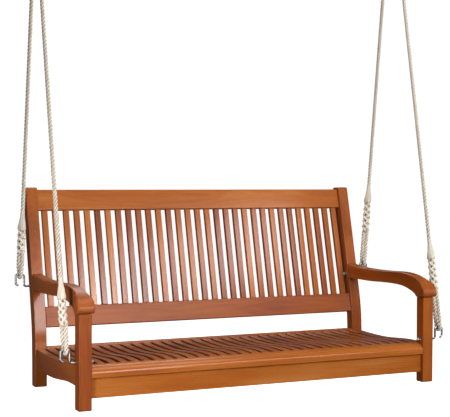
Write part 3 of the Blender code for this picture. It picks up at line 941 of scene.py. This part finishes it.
# ---- ropes -----------------------------------------------------------------------------
def lobed_section():
    """(angle, radius, groove_shade) round a three-strand rope; groove_shade runs to 1 between the
    strands and marks painted shade there.
    """
    fat = STRAND * 1.04
    section = []
    for strand in range(3):
        for k in range(LOBE_STEPS):
            turn = math.radians(-60 + 120 * k / LOBE_STEPS)
            reach = STRAND_RING * math.cos(turn)
            reach += math.sqrt(max(fat**2 - (STRAND_RING * math.sin(turn)) ** 2, 0))
            groove_shade = (abs(math.degrees(turn)) / 60) ** 2
            section.append((turn + strand * 2 * math.pi / 3, reach, groove_shade))
    return section


def carried_frames(points):
    """Two directions square to the line at each point, carried along it without twisting."""
    tangents = []
    for i in range(len(points)):
        tangents.append((points[min(i + 1, len(points) - 1)] - points[max(i - 1, 0)]).normalized())
    aside = tangents[0].orthogonal().normalized()
    frames = []
    for tangent in tangents:
        aside = (aside - tangent * aside.dot(tangent)).normalized()
        frames.append((aside, tangent.cross(aside)))
    return frames


def resampled(points, step):
    """The same line with points about step apart."""
    line = np.array(points, float)
    along = np.concatenate([[0], np.cumsum(np.linalg.norm(np.diff(line, axis=0), axis=1))])
    stations = np.linspace(0, along[-1], max(2, round(along[-1] / step) + 1))
    return [Vector([np.interp(s, along, line[:, k]) for k in range(3)]) for s in stations]


def add_tubes(name, tubes):
    """One rope-coloured piece of closed tubes, each (rings of points, lay, groove_shade), the last being
    painted shade between strands.
    """
    points, faces, lay, groove_shade = [], [], [], []
    for rings, tube_lay, tube_groove_shade in tubes:
        base, size = len(points), len(rings[0])
        for ring in rings:
            points.extend(tuple(p) for p in ring)
        for i in range(len(rings) - 1):
            for k in range(size):
                j = (k + 1) % size
                a, b = base + i * size, base + (i + 1) * size
                faces.append((a + k, a + j, b + j, b + k))
        faces.append(tuple(reversed(range(base, base + size))))
        faces.append(tuple(range(len(points) - size, len(points))))
        lay.extend(tube_lay)
        groove_shade.extend(tube_groove_shade)
    mesh = bpy.data.meshes.new(name)
    mesh.from_pydata(points, [], faces)
    add_attribute(mesh, "lay", "FLOAT_VECTOR", lay)
    add_attribute(mesh, "groove_shade", "FLOAT", groove_shade)
    mesh.shade_smooth()
    return add_piece(name, mesh, rope, SWING)


def rope_rings(points, phase):
    """Rings of a twisted rope along a line, with their (lay, groove_shade) values; groove_shade is the
    painted shade between the strands.
    """
    section = lobed_section()
    rings, lay, groove_shade = [], [], []
    along = 0.0
    for i, (place, (aside, across)) in enumerate(zip(points, carried_frames(points))):
        if i:
            along += (place - points[i - 1]).length
        turn = phase + 2 * math.pi * along / ROPE_LAY
        ring = []
        for angle, reach, crevice_shade in section:
            a = angle + turn
            ring.append(place + (aside * math.cos(a) + across * math.sin(a)) * reach)
            lay.append((along, a * ROPE_RADIUS, phase))
            groove_shade.append(crevice_shade)
        rings.append(ring)
    return rings, lay, groove_shade


def eye_side(pull):
    """The side of a hook's wire, which runs along x, that the rope's standing part comes down on."""
    return ALONG_X.cross(pull).normalized()


def eye_line(wire, pull, wire_radius, twist, eye, tucks):
    """One end of a rope's route, in four stretches: tail, bend, standing leg and merge.

    wire is a point of the wire's centre line, and pull points from it along the rope. twist is how
    far the eye's two legs turn about the rope by the time they meet.
    """
    side = eye_side(pull)
    radius = wire_radius + ROPE_RADIUS
    leg = ROPE_RADIUS * 0.90  # half of the distance between the legs where they meet
    leg_steps, bend_steps, merge_steps = 24, 16, 16
    tail, standing = [], []
    for k in range(leg_steps + 1):
        up = eye * k / leg_steps
        spread = radius + (leg - radius) * smoothstep(up / (eye * 0.45))
        turned_side = Matrix.Rotation(twist * smoothstep(up / (eye * 0.55)), 3, pull) @ side
        tail.append(wire + pull * up - turned_side * spread)
        standing.append(wire + pull * up + turned_side * spread)
    bend = []
    for k in range(1, bend_steps):
        a = math.pi * k / bend_steps
        bend.append(wire - side * radius * math.cos(a) - pull * radius * math.sin(a))
    last_side = Matrix.Rotation(twist, 3, pull) @ side
    merge = []
    for k in range(1, merge_steps + 1):
        up = tucks * k / merge_steps
        merge.append(wire + pull * (eye + up) + last_side * leg * (1 - smoothstep(up / (tucks * 0.8))))
    return list(reversed(tail)), bend, standing, merge


def strand_tube(points, radii, sides, spin):
    """Rings of a plain round strand along a line, with a radius for each point, and their lay."""
    rings, lay = [], []
    along = 0.0
    for i, (aside, across) in enumerate(carried_frames(points)):
        if i:
            along += (points[i] - points[i - 1]).length
        ring = []
        for k in range(sides):
            a = 2 * math.pi * k / sides + spin
            ring.append(points[i] + (aside * math.cos(a) + across * math.sin(a)) * radii[i])
            lay.append((along + 5 * spin, a * radii[i], spin))
        rings.append(ring)
    return rings, lay


def braid_shade(point, foot, pull):
    """Painted shade for a point of the splice, by how deep it lies: 0 on the crowns of its strands, 1
    between them.
    """
    out = (point - foot).cross(pull).length
    return 1 - smoothstep((out - BRAID_RING * 0.98) / (BRAID_STRAND * 0.95))


def tucked_strand(family, strand, foot, pull, aside, across, tucks):
    """One strand of the braid. family, 1 or -1, is its way round: the two families weave together."""
    rows = round(tucks / TUCK)
    steps = 10 * rows
    crossing = 0.0016  # how far the upper of two strands that cross stands out
    points, radii = [], []
    for k in range(steps + 1):
        t = k / steps
        turn = family * 2 * math.pi * rows / 6 * t + 2 * math.pi * strand / 3
        over = family * math.cos(math.pi * rows * t)
        swell = smoothstep(t / 0.10) * (1 - 0.28 * smoothstep((t - 0.62) / 0.38))
        ring = STRAND_RING + (BRAID_RING - STRAND_RING) * swell + crossing * over * swell
        direction = aside * math.cos(turn) + across * math.sin(turn)
        points.append(foot + pull * tucks * t + direction * ring)
        radii.append(BRAID_STRAND * (1.0 - 0.10 * t))
    rings, lay = strand_tube(points, radii, 10, spin=strand * 1.7 + 0.3 + family)
    # the braid's painted shade, darkest between its strands
    return rings, lay, [braid_shade(p, foot, pull) for ring in rings for p in ring]


def combed_taper(foot, pull, aside, across, tucks, taper):
    """The strands' combed-out ends, laid along the rope as one ridged cone."""
    steps = 22
    wide_end = 0.0064  # how far it stands out from the rope
    rings, lay, groove_shade = [], [], []
    for k in range(steps + 1):
        t = k / steps
        up = tucks * 0.95 + taper * 1.1 * t
        size = ROPE_RADIUS + wide_end * (1 - smoothstep(t)) ** 1.1 - 0.0006 * t
        if k == 0:
            size *= 0.9
        ring = []
        for j in range(TAPER_SIDES):
            a = 2 * math.pi * j / TAPER_SIDES
            strands, yarns = math.cos(3 * a - 5 * t), math.cos(15 * a - 3 * t)
            ripple = 1 + 0.045 * strands + 0.025 * math.cos(8 * a + 4 * t) + 0.022 * yarns
            ring.append(foot + pull * up + (aside * math.cos(a) + across * math.sin(a)) * size * ripple)
            lay.append((up * 0.4 + 3, a * size, 0.5))
            # painted shade in the hollows between the combed strands and yarns
            groove_shade.append(0.12 * (1 - strands) + 0.16 * (1 - yarns))
        rings.append(ring)
    return rings, lay, groove_shade


def add_splice(name, foot, pull, tail_side, tucks, taper):
    """The tucked strands and their tapered ends. foot is where the eye's legs meet, on the rope's
    line, and pull points from it along the rope."""
    aside = (tail_side - pull * tail_side.dot(pull)).normalized()
    across = pull.cross(aside)
    tubes = []
    for family in (1, -1):
        for strand in range(3):
            tubes.append(tucked_strand(family, strand, foot, pull, aside, across, tucks))
    tubes.append(combed_taper(foot, pull, aside, across, tucks, taper))
    return add_tubes(name, tubes)


def add_rope(label, side, back, hook_height, top_offset, phase, splice):
    """One rope with an eye at each end, in pieces: the two eyes, the standing part between them and a
    splice at each eye.
    """
    name = f"rope_{label}"
    foot = at(side * ROPE_X, back, hook_height + HOOK_ARCH_HEIGHT)
    head = Vector((side * ROPE_X + top_offset, 0, 0))
    pull = (head - foot).normalized()
    eye, tucks, taper = splice
    tail, bend, standing, merge = eye_line(foot, pull, HOOK_WIRE, EYE_TWIST, eye, tucks)
    top_tail, top_bend, top_standing, top_merge = eye_line(head, -pull, CEILING_WIRE, 0, eye, tucks)
    bottom = [*tail, *bend]
    middle = [*standing, *merge, *reversed(top_merge), *reversed(top_standing)]
    top = [*reversed(top_bend), *reversed(top_tail)]
    whole = resampled([*bottom, *middle, *top], ROPE_LAY / 14)
    halfway = len(whole) // 2
    first = min(range(halfway), key=lambda i: (whole[i] - standing[0]).length)
    last = min(range(halfway, len(whole)), key=lambda i: (whole[i] - top_standing[0]).length)
    rings, lay, groove_shade = rope_rings(whole, phase)
    size = len(rings[0])
    for part, start, end in (
        ("eye_bottom", 0, first),
        ("standing", first, last),
        ("eye_top", last, len(whole) - 1),
    ):
        cut = slice(start * size, (end + 1) * size)
        add_tubes(f"{name}_{part}", [(rings[start : end + 1], lay[cut], groove_shade[cut])])
    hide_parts(name)

    low = foot + pull * eye * 0.96  # the splices reach a little over the eyes
    high = head - pull * eye * 0.96
    low_side = Matrix.Rotation(EYE_TWIST, 3, pull) @ eye_side(pull)
    low_splice = add_splice(f"{name}_splice_bottom", low, pull, -low_side, tucks, taper)
    high_splice = add_splice(f"{name}_splice_top", high, -pull, -eye_side(-pull), tucks, taper)


# ---- build -----------------------------------------------------------------------------
add_studio()
wood = oiled_hardwood("oiled_hardwood", coat=0.6, coat_roughness=0.14)
# duller, on the arms, the front posts and the back's bottom rail
handled_wood = oiled_hardwood("handled_hardwood", coat=0.3, coat_roughness=0.30)
zinc = bright_zinc()
rope = rope_fibre()

for side_name, side_sign in SIDES:
    hooks = (
        ("front", POST / 2, FRONT_HOOK_HEIGHT, side_sign * ROPE_TOP_OFFSET),
        ("rear", rear_face(REAR_HOOK_HEIGHT) - POST / 2, REAR_HOOK_HEIGHT, -side_sign * ROPE_TOP_OFFSET),
    )
    for end_name, hook_back, hook_height, rope_offset in hooks:
        label = f"{end_name}_{side_name}"
        phase = dice.uniform(0, 6)
        add_rope(label, side_sign, hook_back, hook_height, rope_offset, phase, SPLICES[side_name])
        add_rope_hook(label, side_sign, hook_back, hook_height)
        add_cap_nut(label, side_sign, hook_back, hook_height)
    add_ceiling_hook(side_name, side_sign)

add_front_post("front_post_left", tone=0.18)
add_front_post("front_post_right", tone=0.46)
add_rear_post("rear_post_left", tone=0.46)
add_rear_post("rear_post_right", tone=0.30)
add_back(tones=[dice.uniform(0.08, 0.82) for _ in range(BACK_SLATS)])
add_side_rail("side_rail_left", tone=0.40)
add_side_rail("side_rail_right", tone=0.42)
add_front_apron(tone=0.72)
add_box_board("rear_seat_rail", edge=0.003, tone=0.40)
add_box_board("seat_cross_batten", edge=0.002, tone=0.40)
add_front_nosing(tone=0.60)
add_seat_slats(tones=[dice.uniform(0.25, 0.55) for _ in range(SEAT_SLATS)])
add_arm("arm_left", -1, tone=0.38)
add_arm("arm_right", 1, tone=0.40)
